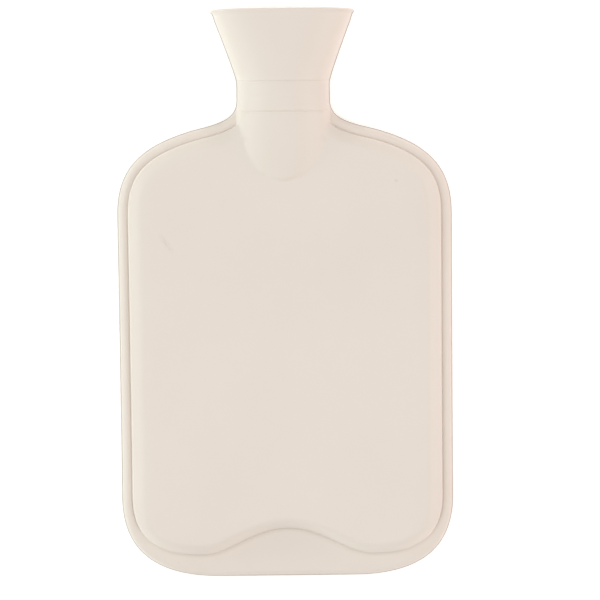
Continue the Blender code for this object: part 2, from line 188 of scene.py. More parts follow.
CAP_SOFT_EDGE = 0.0007
GRIP_SOFT_EDGE = 0.0009
SOFT_SEGMENTS = 3
GRIP_SOFT_SEGMENTS = 4
GRIP_CORNER_SEGMENTS = 10
EDGE_ANGLE = 40.0                  # degrees; edges that turn by more than this are rounded
GRIP_EDGE_ANGLE = 60.0
SHARP_ANGLE = 35.0                 # degrees; edges that turn by less are shaded smooth

# Rows across a sheet, from the seam to the middle.  An "edge" row lies at a distance from
# the seam, a "foot" row at a distance from the panel's foot, a "spine" row at a share of
# the way from the panel's ridge to x = 0.
Row = namedtuple("Row", "start at")
EDGE_ROWS = (0.0, 0.0005, 0.0006, 0.0007, 0.0009, 0.0012, 0.0016, 0.0020, 0.0025, 0.0030)
FLANGE_INNER = (0.0028, 0.0023, 0.0018, 0.0013, 0.0008, 0.0004)
SHOULDER_ROWS = (0.0, 0.00015, 0.0004, 0.0007, 0.0010, 0.0016, 0.0026, 0.0038, 0.0052, 0.0068)
COARSE_SPINE = 5           # rows over the flat part of the panel
FINE_SPINE = 31            # rows over the part that holds the tongue
FINE_SHARE = 0.40
GRID_HALF = 0.5            # a grid of this half size spans u and v from 0 to 1
STEP_SLACK = 0.0001        # a share this close past a span's last step still lies in it
LEAST_TURN = 0.000001      # a cosine below this is that of the middle row


# ------------------------------------------------------------------ curves and heights
QUARTER_TURN = math.radians(90.0)
FULL_TURN = math.radians(360.0)


def mix(first, second, share):
    return first + (second - first) * share


def smooth_step(value, start, end):
    share = min(1.0, max(0.0, (value - start) / (end - start)))
    return share * share * (3.0 - 2.0 * share)


def smooth_max(first, second):
    """The larger of two heights, with a rounded change from one to the other."""
    width = min(BLEND, 2.0 * min(first, second))
    if width <= 0.0:
        return max(first, second)
    near = max(width - abs(first - second), 0.0) / width
    return max(first, second) + near * near * width / 4.0


def quarter_round(share):
    """A quarter circle that starts upright at 0 and ends level at 1."""
    rest = 1.0 - min(1.0, max(0.0, share))
    return math.sqrt(1.0 - rest * rest)


def shoulder_rise(share, tab):
    """The panel's edge: an upright wall that turns over into a slope, shorter at the tab."""
    rest = 1.0 - min(1.0, max(0.0, share))
    slope = 1.0 - rest ** SHOULDER_BEND
    side = mix(quarter_round(share / SHOULDER_WALL), slope, SHOULDER_FALL)
    rest = 1.0 - min(1.0, max(0.0, share / WAVE_SLOPE))
    wave = mix(quarter_round(share / WAVE_WALL), 1.0 - rest ** WAVE_BEND, WAVE_FALL)
    return mix(side, wave, tab)


def oval_height(x, half_width, half_depth, power):
    """The height above x of an oval that is squarer the higher its power."""
    share = abs(x) / half_width if half_width > 0.0 else 1.0
    if share >= 1.0:
        return 0.0
    return half_depth * (1.0 - share ** power) ** (1.0 / power)


def heading_vector(degrees):
    return Vector((math.cos(math.radians(degrees)), math.sin(math.radians(degrees))))


def curve_between(first, second, share):
    """A point of the curve between two knots, and the inward direction there."""
    start = Vector((first.x, first.y))
    end = Vector((second.x, second.y))
    handle_out = start + heading_vector(first.heading) * first.reach_out
    handle_in = end - heading_vector(second.heading) * second.reach_in
    rest = 1.0 - share
    point = (start * rest ** 3 + handle_out * 3.0 * rest * rest * share
             + handle_in * 3.0 * rest * share * share + end * share ** 3)
    travel = ((handle_out - start) * rest * rest + (handle_in - handle_out) * 2.0 * rest * share
              + (end - handle_in) * share * share).normalized()
    return point, Vector((travel.y, -travel.x))


def middle_height(y):
    """The height of the seam, which rises from the body to the neck."""
    return mix(BODY_MIDDLE, NECK_MIDDLE, smooth_step(y, SAG_START, SAG_END))


def crown_height(x, y):
    """How far the face swells out over its middle."""
    across = min(1.0, abs(x) / CROWN_REACH[0])
    along = min(1.0, abs(y - CROWN_MIDDLE) / CROWN_REACH[1])
    return CROWN * math.cos(across * math.pi / 2.0) * math.cos(along * math.pi / 2.0)


def flash_half(reach):
    """Half thickness of the flash, which thins towards its edge."""
    return FLASH_HALF * mix(FLASH_TIP, 1.0, min(1.0, reach / FLASH_WIDTH))


def tab_share(flange):
    """How far the flange, at this width, has turned from bead and groove into the tab."""
    return smooth_step(flange, *GROOVE_FADE)


def flange_half(reach, flange, y):
    """Half thickness of the seam: flash, bead, then the groove or the flat tab."""
    if reach <= FLASH_WIDTH:
        return flash_half(reach)
    tab = tab_share(flange)
    crest = BEAD_HALF - (BEAD_HALF - TAB_HALF) * tab * smooth_step(reach, *TAB_REACH)
    bead = crest * quarter_round((reach - FLASH_WIDTH) / BEAD_ROUND)
    ease = smooth_step(y, *GROOVE_EASE)
    dip = mix(crest - GROOVE_HALF, -TAB_FILLET, tab)
    slope = max(0.0, 1.0 - (flange - reach) / GROOVE_RUN)
    crease = max(0.0, 1.0 - (flange - reach) / CREASE_RUN) * (1.0 - tab)
    groove = dip * slope ** 2 + CREASE_DEPTH * crease ** 2
    return max(FLASH_HALF, bead - groove * mix(1.0, EASE_LEFT, ease))


def body_half(reach, flange, y):
    """Half thickness at a distance from the seam, where the flange has this width."""
    if reach < flange:
        return flange_half(reach, flange, y)
    rise = shoulder_rise((reach - flange) / SHOULDER_WIDTH, tab_share(flange))
    return mix(flange_half(flange, flange, y), PANEL_HALF, rise)


def tongue_half(x, y):
    """Half thickness of the neck's tube where it runs out on the panel."""
    share = max(0.0, (TONGUE_TOP - y) / (TONGUE_TOP - TONGUE_END))
    if share >= 1.0:
        return 0.0
    end_depth = PANEL_HALF + TONGUE_STEP
    depth = end_depth + (NECK_HALF_DEPTH - end_depth) * (1.0 - share)
    neck_share = (1.0 - (PANEL_HALF / NECK_HALF_DEPTH) ** NECK_POWER) ** (1.0 / NECK_POWER)
    neck_width = OUTLINE[FILLET_SPAN].x - FLASH_WIDTH * (1.0 - share)
    level_width = neck_width * neck_share * math.sqrt(1.0 - share ** TONGUE_TAPER)
    level_share = (1.0 - (PANEL_HALF / depth) ** NECK_POWER) ** (1.0 / NECK_POWER)
    return oval_height(x, level_width / level_share, depth, NECK_POWER)


def throat_half(x, y):
    """Half height of the cavity where the throat opens into the chamber."""
    share = (THROAT_END - y) / (THROAT_END - THROAT_FADE)
    if share >= 1.0:
        return 0.0
    depth = mix(THROAT_RADIUS, PANEL_HALF - WALL, share)
    return oval_height(x, THROAT_RADIUS + THROAT_SPREAD * share, depth, ROUND)


def locate(u, steps):
    """The span that a share of all the steps falls in, and the share of that span."""
    left = u * sum(steps)
    for index, count in enumerate(steps):
        if left <= count + STEP_SLACK:
            return index, min(1.0, left / count)
        left -= count
    return len(steps) - 1, 1.0


# ------------------------------------------------------------------ the shell's sheets
def sheet_rows():
    """The rows of an outer sheet, seam to middle."""
    rows = [Row("edge", at) for at in EDGE_ROWS]
    rows += [Row("foot", -at) for at in FLANGE_INNER]
    rows += [Row("foot", at) for at in SHOULDER_ROWS + (SHOULDER_WIDTH,)]
    rows += [Row("spine", FINE_SHARE * step / COARSE_SPINE)
             for step in range(1, COARSE_SPINE + 1)]
    rows += [Row("spine", mix(FINE_SHARE, 1.0, step / FINE_SPINE))
             for step in range(1, FINE_SPINE + 1)]
    return rows


OUTER_ROWS = sheet_rows()
ROW_COUNT = len(OUTER_ROWS) - 1
OUTER_STEPS = (LIP_STEPS,) + tuple(knot.steps for knot in OUTLINE[:-1])
INNER_STEPS = (LIP_STEPS,) + tuple(bore.steps for bore in BORE) + CHAMBER_STEPS


def row_place(row, edge, foot, ridge, spine):
    """Where a row crosses a line of the sheet, and how far from the seam that is."""
    flange = (foot - edge).length
    if row.start == "edge":
        return mix(edge, foot, row.at / flange), row.at
    if row.start == "foot":
        if row.at < 0.0:
            return mix(foot, edge, -row.at / flange), flange + row.at
        return mix(foot, ridge, row.at / (ridge - foot).length), flange + row.at
    reach = flange + (ridge - foot).length
    return mix(ridge, spine, row.at), reach + (spine - ridge).length * row.at


def tube_place(row_index, edge, spine, power):
    """A row on the neck: even turns round the oval."""
    turn = math.cos(QUARTER_TURN * row_index / ROW_COUNT)
    share = turn ** (ROUND / power) if turn > LEAST_TURN else 0.0
    return Vector((edge.x * share, mix(edge.y, spine.y, 1.0 - share))), edge.x * (1.0 - share)


def flashed_tube_place(row_index, edge, spine, power):
    """A row on the outside of the neck, where the flash stands out from the oval."""
    row = OUTER_ROWS[row_index]
    if row.start == "edge" and row.at <= FLASH_WIDTH:
        return Vector((edge.x - row.at, edge.y)), row.at
    oval_edge = Vector((edge.x - FLASH_WIDTH, edge.y))
    place, reach = tube_place(row_index, oval_edge, spine, power)
    return place, reach + FLASH_WIDTH


def shell_point(place, offset):
    """From the drawing, whose y starts at the bottom edge, to the part's own frame."""
    return Vector((place.x, place.y + BOTTOM_EDGE, middle_height(place.y) + offset))


def lip_point(share, row_index, side, outward):
    """The lip's quarter circle from its top down the outside (outward 1) or the inside (-1)."""
    turn = QUARTER_TURN * share
    swell = LIP_RADIUS * math.sin(turn) * outward
    drop = LIP_RADIUS * (1.0 - math.cos(turn))
    edge = Vector((OUTLINE[0].x - LIP_RADIUS + swell, LENGTH - drop))
    place, _ = tube_place(row_index, edge, Vector((0.0, edge.y)), MOUTH_POWER)
    depth = MOUTH_HALF_DEPTH - LIP_RADIUS + swell
    half = 0.0 if row_index == 0 else oval_height(place.x, edge.x, depth, MOUTH_POWER)
    return shell_point(place, half * side)


def outer_lines(span, share):
    """Seam, foot of the panel, ridge of its shoulder and middle, on one line of a sheet."""
    edge, inward = curve_between(OUTLINE[span], OUTLINE[span + 1], share)
    if span == 0:  # the first point moves down to the lip's lower end
        joined = min(1.0, (LENGTH - edge.y) / (LIP_RADIUS * LIP_RUN))
        edge.y = mix(LENGTH - LIP_RADIUS, edge.y, joined)
    foot = edge + inward * FLANGE_WIDTH
    if span >= CORNER_SPAN:
        knot = span - CORNER_SPAN
        foot, inward = curve_between(FOOT[knot], FOOT[knot + 1], share)
    spine_y = mix(OUTLINE[span].spine, OUTLINE[span + 1].spine, share)
    if span < FILLET_SPAN:
        spine_y = edge.y
    if span == FILLET_SPAN:
        drop = OUTLINE[span + 1].spine - OUTLINE[span + 1].y
        spine_y = edge.y + drop * smooth_step(share, FAN_START, 1.0)
    return edge, foot, foot + inward * SHOULDER_WIDTH, Vector((0.0, spine_y))


def outer_point(u, v, side):
    """A point of the outside, on the front sheet (side 1) or the back sheet (side -1)."""
    span, share = locate(u, OUTER_STEPS)
    row_index = round(v * ROW_COUNT)
    if span == 0:
        return lip_point(share, row_index, side, 1.0)
    span -= 1
    edge, foot, ridge, spine = outer_lines(span, share)
    spread = max(0.0, edge.y - SPREAD_TOP) / (LENGTH - LIP_RADIUS - SPREAD_TOP)
    power = mix(NECK_POWER, MOUTH_POWER, spread)
    on_tube, tube_reach = flashed_tube_place(row_index, edge, spine, power)
    on_body, body_reach = row_place(OUTER_ROWS[row_index], edge, foot, ridge, spine)
    body = smooth_step(span + share - FILLET_SPAN, *ROWS_TURN)
    place = mix(on_tube, on_body, body)
    reach = mix(tube_reach, body_reach, body)
    flange = (foot - edge).length
    if reach <= FLASH_WIDTH + WELD:
        half = flash_half(reach)
    elif span < FILLET_SPAN:
        depth = mix(NECK_HALF_DEPTH, MOUTH_HALF_DEPTH, spread)
        half = oval_height(place.x, edge.x - FLASH_WIDTH, depth, power)
    else:
        half = smooth_max(body_half(reach, flange, edge.y), tongue_half(place.x, place.y))
    if side > 0:
        half += crown_height(place.x, place.y) * quarter_round((reach - flange) / SHOULDER_WIDTH)
    if row_index == 0:
        half = 0.0
    return shell_point(place, half * side)


def cavity_edge(span, share):
    """The edge of the chamber, a little inside the panel's foot."""
    _, foot, ridge, _ = outer_lines(span, share)
    return foot + (ridge - foot).normalized() * CAVITY_INSET


def cavity_lines(span, share):
    """Edge and middle of a line of the cavity, and how far it has turned into the chamber.

    Span 0 opens the throat, and spans 1 to 4 follow the last four of the outline.
    """
    if span == 0:
        throat, start = BORE[-1], cavity_edge(FILLET_SPAN + 1, 0.0)
        from_throat = Knot(throat.x, throat.y, -90.0, 0.0, THROAT_REACH[0], 0.0, 0)
        heading = OUTLINE[FILLET_SPAN + 1].heading
        to_shoulder = Knot(start.x, start.y, heading, THROAT_REACH[1], 0.0, 0.0, 0)
        edge, _ = curve_between(from_throat, to_shoulder, share)
        return edge, Vector((0.0, mix(throat.y, THROAT_SPINE, share))), smooth_step(share, 0.0, 1.0)
    outline_span = FILLET_SPAN + span
    first = THROAT_SPINE if span == 1 else OUTLINE[outline_span].spine
    spine = Vector((0.0, mix(first, OUTLINE[outline_span + 1].spine, share)))
    return cavity_edge(outline_span, share), spine, 1.0


def inner_point(u, v, side):
    """A point of the cavity's front sheet (side 1) or back sheet (side -1)."""
    span, share = locate(u, INNER_STEPS)
    row_index = round(v * ROW_COUNT)
    if span == 0:
        return lip_point(share, row_index, side, -1.0)
    if span < len(BORE):
        first, second = BORE[span - 1], BORE[span]
        edge = Vector((mix(first.x, second.x, share), mix(first.y, second.y, share)))
        power = mix(first.power, second.power, share)
        place, _ = tube_place(row_index, edge, Vector((0.0, edge.y)), power)
        half = oval_height(place.x, edge.x, mix(first.depth, second.depth, share), power)
    else:
        edge, spine, body = cavity_lines(span - len(BORE), share)
        on_tube, tube_reach = tube_place(row_index, edge, spine, ROUND)
        across = 1.0 - math.cos(QUARTER_TURN * row_index / ROW_COUNT)
        place = mix(on_tube, mix(edge, spine, across), body)
        reach = mix(tube_reach, (spine - edge).length * across, body)
        round_share = quarter_round(reach / CAVITY_ROUND)
        half = smooth_max((PANEL_HALF - WALL) * round_share, throat_half(place.x, place.y))
        if side > 0:
            half += crown_height(place.x, place.y) * round_share
    if row_index == 0:
        half = 0.0
    return shell_point(place, half * side)


def add_sheet(mesh, steps, point_at, side):
    """A grid over u and v, each corner of which is moved to its place on the sheet."""
    grid = bmesh.ops.create_grid(mesh, x_segments=steps, y_segments=ROW_COUNT, size=GRID_HALF)
    for vertex in grid["verts"]:
        vertex.co = point_at(vertex.co.x + GRID_HALF, vertex.co.y + GRID_HALF, side)


# ------------------------------------------------------------------ fine lines on the neck
Line = namedtuple("Line", "y width depth")
NECK_LINES = (
    Line(0.2961, 0.00045, 0.00024),
    Line(0.2781, 0.00050, 0.00032),
)
LINE_REACH = 0.0040                # only the faces this near a line are cut
LINE_CUTS = (-1.0, -0.5, 0.0, 0.5, 1.0)    # places of the cuts, in widths of the line
LINE_FADE = (0.0028, 0.0110)       # heights above the seam over which the lines begin
LINE_LEAN = 0.057                  # how far a line dips towards the middle, for its height


def seam_height(place):
    """How far a point of the shell lies from the level of the seam."""
    return abs(place.z - middle_height(place.y - BOTTOM_EDGE))


def crossed_parts(sheet, line):
    """Faces near a line, apart from those close to the seam, with their edges and corners."""
    faces = [face for face in sheet.faces
             if abs(face.verts[0].co.y - BOTTOM_EDGE - line.y) < LINE_REACH
             and all(seam_height(vertex.co) > BEAD_HALF / 2.0 for vertex in face.verts)]
    edges = {edge for face in faces for edge in face.edges}
    return faces + list(edges) + list({vertex for edge in edges for vertex in edge.verts})


def cut_neck_lines(sheet, side):
    """Score each line across the neck: cut the sheet along it, then press the cut in."""
    for line in NECK_LINES:
        for cut in LINE_CUTS:
            y = line.y + BOTTOM_EDGE + cut * line.width
            bmesh.ops.bisect_plane(sheet, geom=crossed_parts(sheet, line), dist=WELD,
                                   plane_co=(0.0, y, middle_height(line.y)),
                                   plane_no=(0.0, 1.0, LINE_LEAN * side))
        press_line(sheet, line)


def press_line(sheet, line):
    """Push the points along a line in towards the middle of the neck."""
    for vertex in sheet.verts:
        y = vertex.co.y - BOTTOM_EDGE
        half = seam_height(vertex.co)
        away = abs(y + LINE_LEAN * half - line.y) / line.width
        if away >= 1.0 or half < BEAD_HALF:
            continue
        depth = line.depth * (1.0 - away) * smooth_step(half, *LINE_FADE)
        pinch = 1.0 - depth / Vector((vertex.co.x, half)).length
        vertex.co.x *= pinch
        vertex.co.z = mix(middle_height(y), vertex.co.z, pinch)


# ------------------------------------------------------------------ turned pieces
def turn_profile(mesh, profile, closed):
    """Turn a profile of (radius, height) points once round Z, its ends joined if closed."""
    corners = [mesh.verts.new((radius, 0.0, height)) for radius, height in profile]
    edges = [mesh.edges.new(pair) for pair in zip(corners, corners[1:])]
    if closed:
        edges.append(mesh.edges.new((corners[-1], corners[0])))
    bmesh.ops.spin(mesh, geom=corners + edges, cent=(0.0, 0.0, 0.0), axis=(0.0, 0.0, 1.0),
                   angle=FULL_TURN, steps=TURN_STEPS, use_merge=True)
    bmesh.ops.remove_doubles(mesh, verts=mesh.verts[:], dist=WELD)
    bmesh.ops.recalc_face_normals(mesh, faces=mesh.faces[:])


def add_thread(mesh, root, crest, low, turns):
    """A ridge that climbs round Z from the height low, from the root to the crest radius."""
    ridge = bmesh.new()
    section = ((root, -THREAD_HALF), (crest, -THREAD_HALF / 2.0),
               (crest, THREAD_HALF / 2.0), (root, THREAD_HALF))
    corners = [ridge.verts.new((radius, 0.0, low + rise)) for radius, rise in section]
    start = ridge.faces.new(corners)
    bmesh.ops.spin(ridge, geom=[start] + start.edges[:] + corners, cent=(0.0, 0.0, 0.0),
                   axis=(0.0, 0.0, 1.0), dvec=(0.0, 0.0, THREAD_PITCH / TURN_STEPS),
                   angle=FULL_TURN * turns, steps=round(TURN_STEPS * turns))
    bmesh.ops.recalc_face_normals(ridge, faces=ridge.faces[:])
    join_mesh(mesh, ridge)


def join_mesh(mesh, other):
    """Add the other mesh to the first one, and free it."""
    data = bpy.data.meshes.new("joined")
    other.to_mesh(data)
    other.free()
    mesh.from_mesh(data)
    bpy.data.meshes.remove(data)


def soften_edges(mesh, width, least_angle=EDGE_ANGLE, segments=SOFT_SEGMENTS):
    """Round the edges that turn by more than least_angle degrees."""
    sharp = [edge for edge in mesh.edges
             if edge.is_manifold and edge.calc_face_angle() > math.radians(least_angle)]
    bmesh.ops.bevel(mesh, geom=sharp, offset=width, segments=segments, profile=0.5,
                    affect="EDGES", material=-1, clamp_overlap=True)


def stand_on_neck_axis(mesh, distance):
    """Turn the piece's own +Z along the bottle, this far above the bottom edge."""
    place = Matrix.Translation((0.0, distance + BOTTOM_EDGE, NECK_MIDDLE))
    place = place @ Matrix.Rotation(-QUARTER_TURN, 4, "X")
    bmesh.ops.transform(mesh, matrix=place, verts=mesh.verts[:])


# ------------------------------------------------------------------ making objects
EDGE_SHADE_ATTRIBUTE = "painted_edge_shade"      # the attribute that marks the flash along the seam, for its painted shade
FLOOR_HALF = 6.0


def mesh_object(name, mesh, material):
    """The mesh as an object of the scene, at the origin."""
    data = bpy.data.meshes.new(name)
    mesh.to_mesh(data)
    mesh.free()
    data.materials.append(material)
    item = bpy.data.objects.new(name, data)
    bpy.context.scene.collection.objects.link(item)
    return item


def finish_object(name, mesh, body, node, material, sharp_angle=None):
    """A smooth piece that rides on its body and takes the place of a solid."""
    item = mesh_object(name, mesh, material)
    item.data.shade_smooth()
    if sharp_angle:
        item.data.set_sharp_from_angle(angle=math.radians(sharp_angle))
    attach(item, body)
    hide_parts(node)


def mark_edge_shade(mesh):
    """Mark the flash, short of its root, so that the material can paint shade on it."""
    shade_layer = mesh.verts.layers.float.new(EDGE_SHADE_ATTRIBUTE)
    for vertex in mesh.verts:
        vertex[shade_layer] = 1.0 if seam_height(vertex.co) < FLASH_HALF - WELD else 0.0


def build_bottle(material):
    mesh = bmesh.new()
    for side in (1, -1):
        sheet = bmesh.new()
        add_sheet(sheet, sum(OUTER_STEPS), outer_point, side)
        cut_neck_lines(sheet, side)
        join_mesh(mesh, sheet)
    mark_edge_shade(mesh)
    for side in (1, -1):
        add_sheet(mesh, sum(INNER_STEPS), inner_point, side)
    bmesh.ops.mirror(mesh, geom=mesh.verts[:] + mesh.edges[:] + mesh.faces[:],
                     matrix=Matrix.Identity(4), merge_dist=WELD, axis="X")
    bmesh.ops.remove_doubles(mesh, verts=mesh.verts[:], dist=WELD)
    bmesh.ops.recalc_face_normals(mesh, faces=mesh.faces[:])
    finish_object("rubber_bottle", mesh, "bottle", "bottle", material)


def build_insert(material):
    mesh = bmesh.new()
    radius = POCKET_RADIUS - GAP
    height = POCKET_TOP - POCKET_END - GAP
    turn_profile(mesh, ((radius, height), (radius, 0.0), (INSERT_ROOT, 0.0),
                        (INSERT_ROOT, height)), closed=True)
    soften_edges(mesh, SOFT_EDGE)
    add_thread(mesh, INSERT_ROOT + THREAD_SINK, INSERT_BORE, *INSERT_THREAD)
    stand_on_neck_axis(mesh, POCKET_END + GAP)
    finish_object("threaded_insert", mesh, "bottle", "neck_insert",
                  material, SHARP_ANGLE)


def build_washer(material):
    mesh = bmesh.new()
    turn_profile(mesh, ((WASHER_RADIUS, WASHER_THICK), (WASHER_RADIUS, 0.0),
                        (WASHER_BORE, 0.0), (WASHER_BORE, WASHER_THICK)), closed=True)
    soften_edges(mesh, SOFT_EDGE)
    stand_on_neck_axis(mesh, SEAT + GAP)
    finish_object("rubber_washer", mesh, "washer", "sealing_washer",
                  material, SHARP_ANGLE)


def grip_plate():
    """The flat grip: a plate with two round upper corners and soft edges."""
    plate = bmesh.new()
    bmesh.ops.create_cube(plate, size=1.0)
    bmesh.ops.scale(plate, vec=(GRIP_WIDTH, GRIP_THICK, GRIP_HEIGHT), verts=plate.verts[:])
    bmesh.ops.translate(plate, vec=(0.0, 0.0, GRIP_HEIGHT / 2.0), verts=plate.verts[:])
    upper = [edge for edge in plate.edges
             if all(vertex.co.z > GRIP_HEIGHT - WELD for vertex in edge.verts)
             and abs(edge.verts[0].co.y - edge.verts[1].co.y) > WELD]
    bmesh.ops.bevel(plate, geom=upper, offset=GRIP_CORNER, segments=GRIP_CORNER_SEGMENTS,
                    profile=0.5, affect="EDGES", material=-1)
    soften_edges(plate, GRIP_SOFT_EDGE, GRIP_EDGE_ANGLE, GRIP_SOFT_SEGMENTS)
    bmesh.ops.translate(plate, vec=(0.0, 0.0, CAP_THICK), verts=plate.verts[:])
    return plate


def build_stopper(material):
    mesh = bmesh.new()
    turn_profile(mesh, ((0.0, CAP_THICK), (CAP_RADIUS, CAP_THICK), (CAP_RADIUS, 0.0),
                        (PLUG_CORE, 0.0), (PLUG_CORE, PLUG_CHAMFER - PLUG_LENGTH),
                        (PLUG_CORE - PLUG_CHAMFER, -PLUG_LENGTH), (0.0, -PLUG_LENGTH)),
                 closed=False)
    soften_edges(mesh, CAP_SOFT_EDGE)
    thread_start, thread_turns = PLUG_THREAD
    add_thread(mesh, PLUG_CORE - THREAD_SINK, PLUG_RADIUS, thread_start - PLUG_LENGTH,
               thread_turns)
    join_mesh(mesh, grip_plate())
    stand_on_neck_axis(mesh, CAP_FACE)
    finish_object("screw_stopper", mesh, "stopper", "stopper",
                  material, SHARP_ANGLE)


def build_floor(material):
    mesh = bmesh.new()
    bmesh.ops.create_grid(mesh, x_segments=1, y_segments=1, size=FLOOR_HALF)
    mesh_object("studio_floor", mesh, material)


# ------------------------------------------------------------------ materials
COARSE_SCALE = 0.22                # the coarser grain's scale, against the fine grain's
CLOUD_RANGE = (0.3, 0.7)           # noise values that become 0 and 1
CRUMB_RANGE = (0.35, 0.65)
SPOT_RANGE = (1.0, 0.2)            # a mark fades in from its edge to this share of its radius
GLOSS_CHANGE = 0.03
GRAIN_HEIGHT = 0.0002


def new_material(name, colour, roughness):
    material = bpy.data.materials.new(name)
    material.use_nodes = True
    shader = material.node_tree.nodes["Principled BSDF"]
    shader.inputs["Base Color"].default_value = colour
    shader.inputs["Roughness"].default_value = roughness
    return material, material.node_tree, shader


def new_group(name, inputs, outputs):
    """A shader node group with named sockets, given as (name, kind, default)."""
    group = bpy.data.node_groups.new(name, "ShaderNodeTree")
    for socket_name, kind, default in inputs:
        socket = group.interface.new_socket(socket_name, in_out="INPUT", socket_type=kind)
        if default is not None:
            socket.default_value = default
    for socket_name, kind in outputs:
        group.interface.new_socket(socket_name, in_out="OUTPUT", socket_type=kind)
    return group, group.nodes.new("NodeGroupInput"), group.nodes.new("NodeGroupOutput")


def place_group(tree, group, values):
    """Place a node group in a material, with values for some of its sockets."""
    node = tree.nodes.new("ShaderNodeGroup")
    node.node_tree = group
    for socket_name, value in values:
        node.inputs[socket_name].default_value = value
    return node


def object_coordinates(tree):
    return tree.nodes.new("ShaderNodeTexCoord").outputs["Object"]


def stretch(tree, value, low, high):
    """Stretch a texture's value so that low becomes 0 and high becomes 1."""
    node = tree.nodes.new("ShaderNodeMapRange")
    node.inputs["From Min"].default_value = low
    node.inputs["From Max"].default_value = high
    tree.links.new(value, node.inputs["Value"])
    return node.outputs["Result"]


def combine(tree, operation, first, second):
    """A Math node over two sockets, or over a socket and a number."""
    node = tree.nodes.new("ShaderNodeMath")
    node.operation = operation
    for socket, value in zip(node.inputs, (first, second)):
        if isinstance(value, float):
            socket.default_value = value
        else:
            tree.links.new(value, socket)
    return node.outputs["Value"]


def mix_colours(tree, factor, first, second, blend="MIX"):
    """A Mix node over two colours, each a socket or a plain colour."""
    node = tree.nodes.new("ShaderNodeMix")
    node.data_type = "RGBA"
    node.blend_type = blend
    sockets = {socket.identifier: socket for socket in node.inputs}
    tree.links.new(factor, sockets["Factor_Float"])
    for socket, value in ((sockets["A_Color"], first), (sockets["B_Color"], second)):
        if isinstance(value, tuple):
            socket.default_value = value
        else:
            tree.links.new(value, socket)
    return next(socket for socket in node.outputs if socket.identifier == "Result_Color")


def moulded_grain_group():
    """The fine matt skin that a mould leaves: a fine and a coarser grain, as one height."""
    group, given, result = new_group("moulded_grain", (
        ("Coordinates", "NodeSocketVector", None), ("Scale", "NodeSocketFloat", 1200.0),
        ("Coarse Share", "NodeSocketFloat", 0.4)), (("Height", "NodeSocketFloat"),))
    fine = group.nodes.new("ShaderNodeTexNoise")
    fine.inputs["Detail"].default_value = 3.0
    group.links.new(given.outputs["Coordinates"], fine.inputs["Vector"])
    group.links.new(given.outputs["Scale"], fine.inputs["Scale"])
    coarse = group.nodes.new("ShaderNodeTexNoise")
    coarse.inputs["Detail"].default_value = 2.0
    group.links.new(given.outputs["Coordinates"], coarse.inputs["Vector"])
    group.links.new(combine(group, "MULTIPLY", given.outputs["Scale"], COARSE_SCALE),
                    coarse.inputs["Scale"])
    swell = combine(group, "MULTIPLY", coarse.outputs["Fac"], given.outputs["Coarse Share"])
    group.links.new(combine(group, "ADD", fine.outputs["Fac"], swell), result.inputs["Height"])
    return group


def uneven_tone_group():
    """Cloudy change between two tones, with a mask that can drive the gloss as well."""
    group, given, result = new_group("uneven_tone", (
        ("Coordinates", "NodeSocketVector", None), ("Scale", "NodeSocketFloat", 20.0),
        ("Dark Tone", "NodeSocketColor", None), ("Light Tone", "NodeSocketColor", None)),
        (("Colour", "NodeSocketColor"), ("Mask", "NodeSocketFloat")))
    cloud = group.nodes.new("ShaderNodeTexNoise")
    cloud.inputs["Detail"].default_value = 4.0
    cloud.inputs["Roughness"].default_value = 0.55
    group.links.new(given.outputs["Coordinates"], cloud.inputs["Vector"])
    group.links.new(given.outputs["Scale"], cloud.inputs["Scale"])
    mask = stretch(group, cloud.outputs["Fac"], *CLOUD_RANGE)
    tone = mix_colours(group, mask, given.outputs["Dark Tone"], given.outputs["Light Tone"])
    group.links.new(tone, result.inputs["Colour"])
    group.links.new(mask, result.inputs["Mask"])
    return group


def handling_mark_group():
    """A soft, broken spot of dirt, 1 in its middle and 0 beyond a radius of 1."""
    group, given, result = new_group("handling_mark", (
        ("Coordinates", "NodeSocketVector", None), ("Break Up", "NodeSocketFloat", 3.0)),
        (("Mask", "NodeSocketFloat"),))
    away = group.nodes.new("ShaderNodeVectorMath")
    away.operation = "LENGTH"
    group.links.new(given.outputs["Coordinates"], away.inputs["Vector"])
    spot = stretch(group, away.outputs["Value"], *SPOT_RANGE)
    crumbs = group.nodes.new("ShaderNodeTexNoise")
    crumbs.inputs["Detail"].default_value = 3.0
    group.links.new(given.outputs["Coordinates"], crumbs.inputs["Vector"])
    group.links.new(given.outputs["Break Up"], crumbs.inputs["Scale"])
    broken = stretch(group, crumbs.outputs["Fac"], *CRUMB_RANGE)
    group.links.new(combine(group, "MULTIPLY", spot, broken), result.inputs["Mask"])
    return group


MOULDED_GRAIN = moulded_grain_group()
UNEVEN_TONE = uneven_tone_group()
HANDLING_MARK = handling_mark_group()

# cloud and grain are the scales of the two patterns, depth is the strength of the grain.
Finish = namedtuple("Finish", "colour roughness dark light cloud grain depth")
CREAM_RUBBER = Finish((0.712, 0.635, 0.562, 1.0), 0.42, (0.704, 0.624, 0.552, 1.0),
                      (0.720, 0.646, 0.572, 1.0), 16.0, 1100.0, 0.10)
WASHER_RUBBER = Finish((0.420, 0.330, 0.250, 1.0), 0.60, (0.370, 0.285, 0.210, 1.0),
                       (0.470, 0.380, 0.295, 1.0), 160.0, 2600.0, 0.25)
STOPPER_PLASTIC = Finish((0.720, 0.655, 0.570, 1.0), 0.36, (0.700, 0.635, 0.548, 1.0),
                         (0.740, 0.675, 0.590, 1.0), 60.0, 2400.0, 0.06)
INSERT_PLASTIC = Finish((0.620, 0.550, 0.450, 1.0), 0.42, (0.590, 0.520, 0.420, 1.0),
                        (0.650, 0.580, 0.480, 1.0), 60.0, 2400.0, 0.06)

HANDLING_DIRT = (0.25, 0.22, 0.18, 1.0)
EDGE_SHADE_TONE = (0.76, 0.75, 0.74, 1.0)     # painted shade: the flash along the seam is darker, as its edge faces away from the light
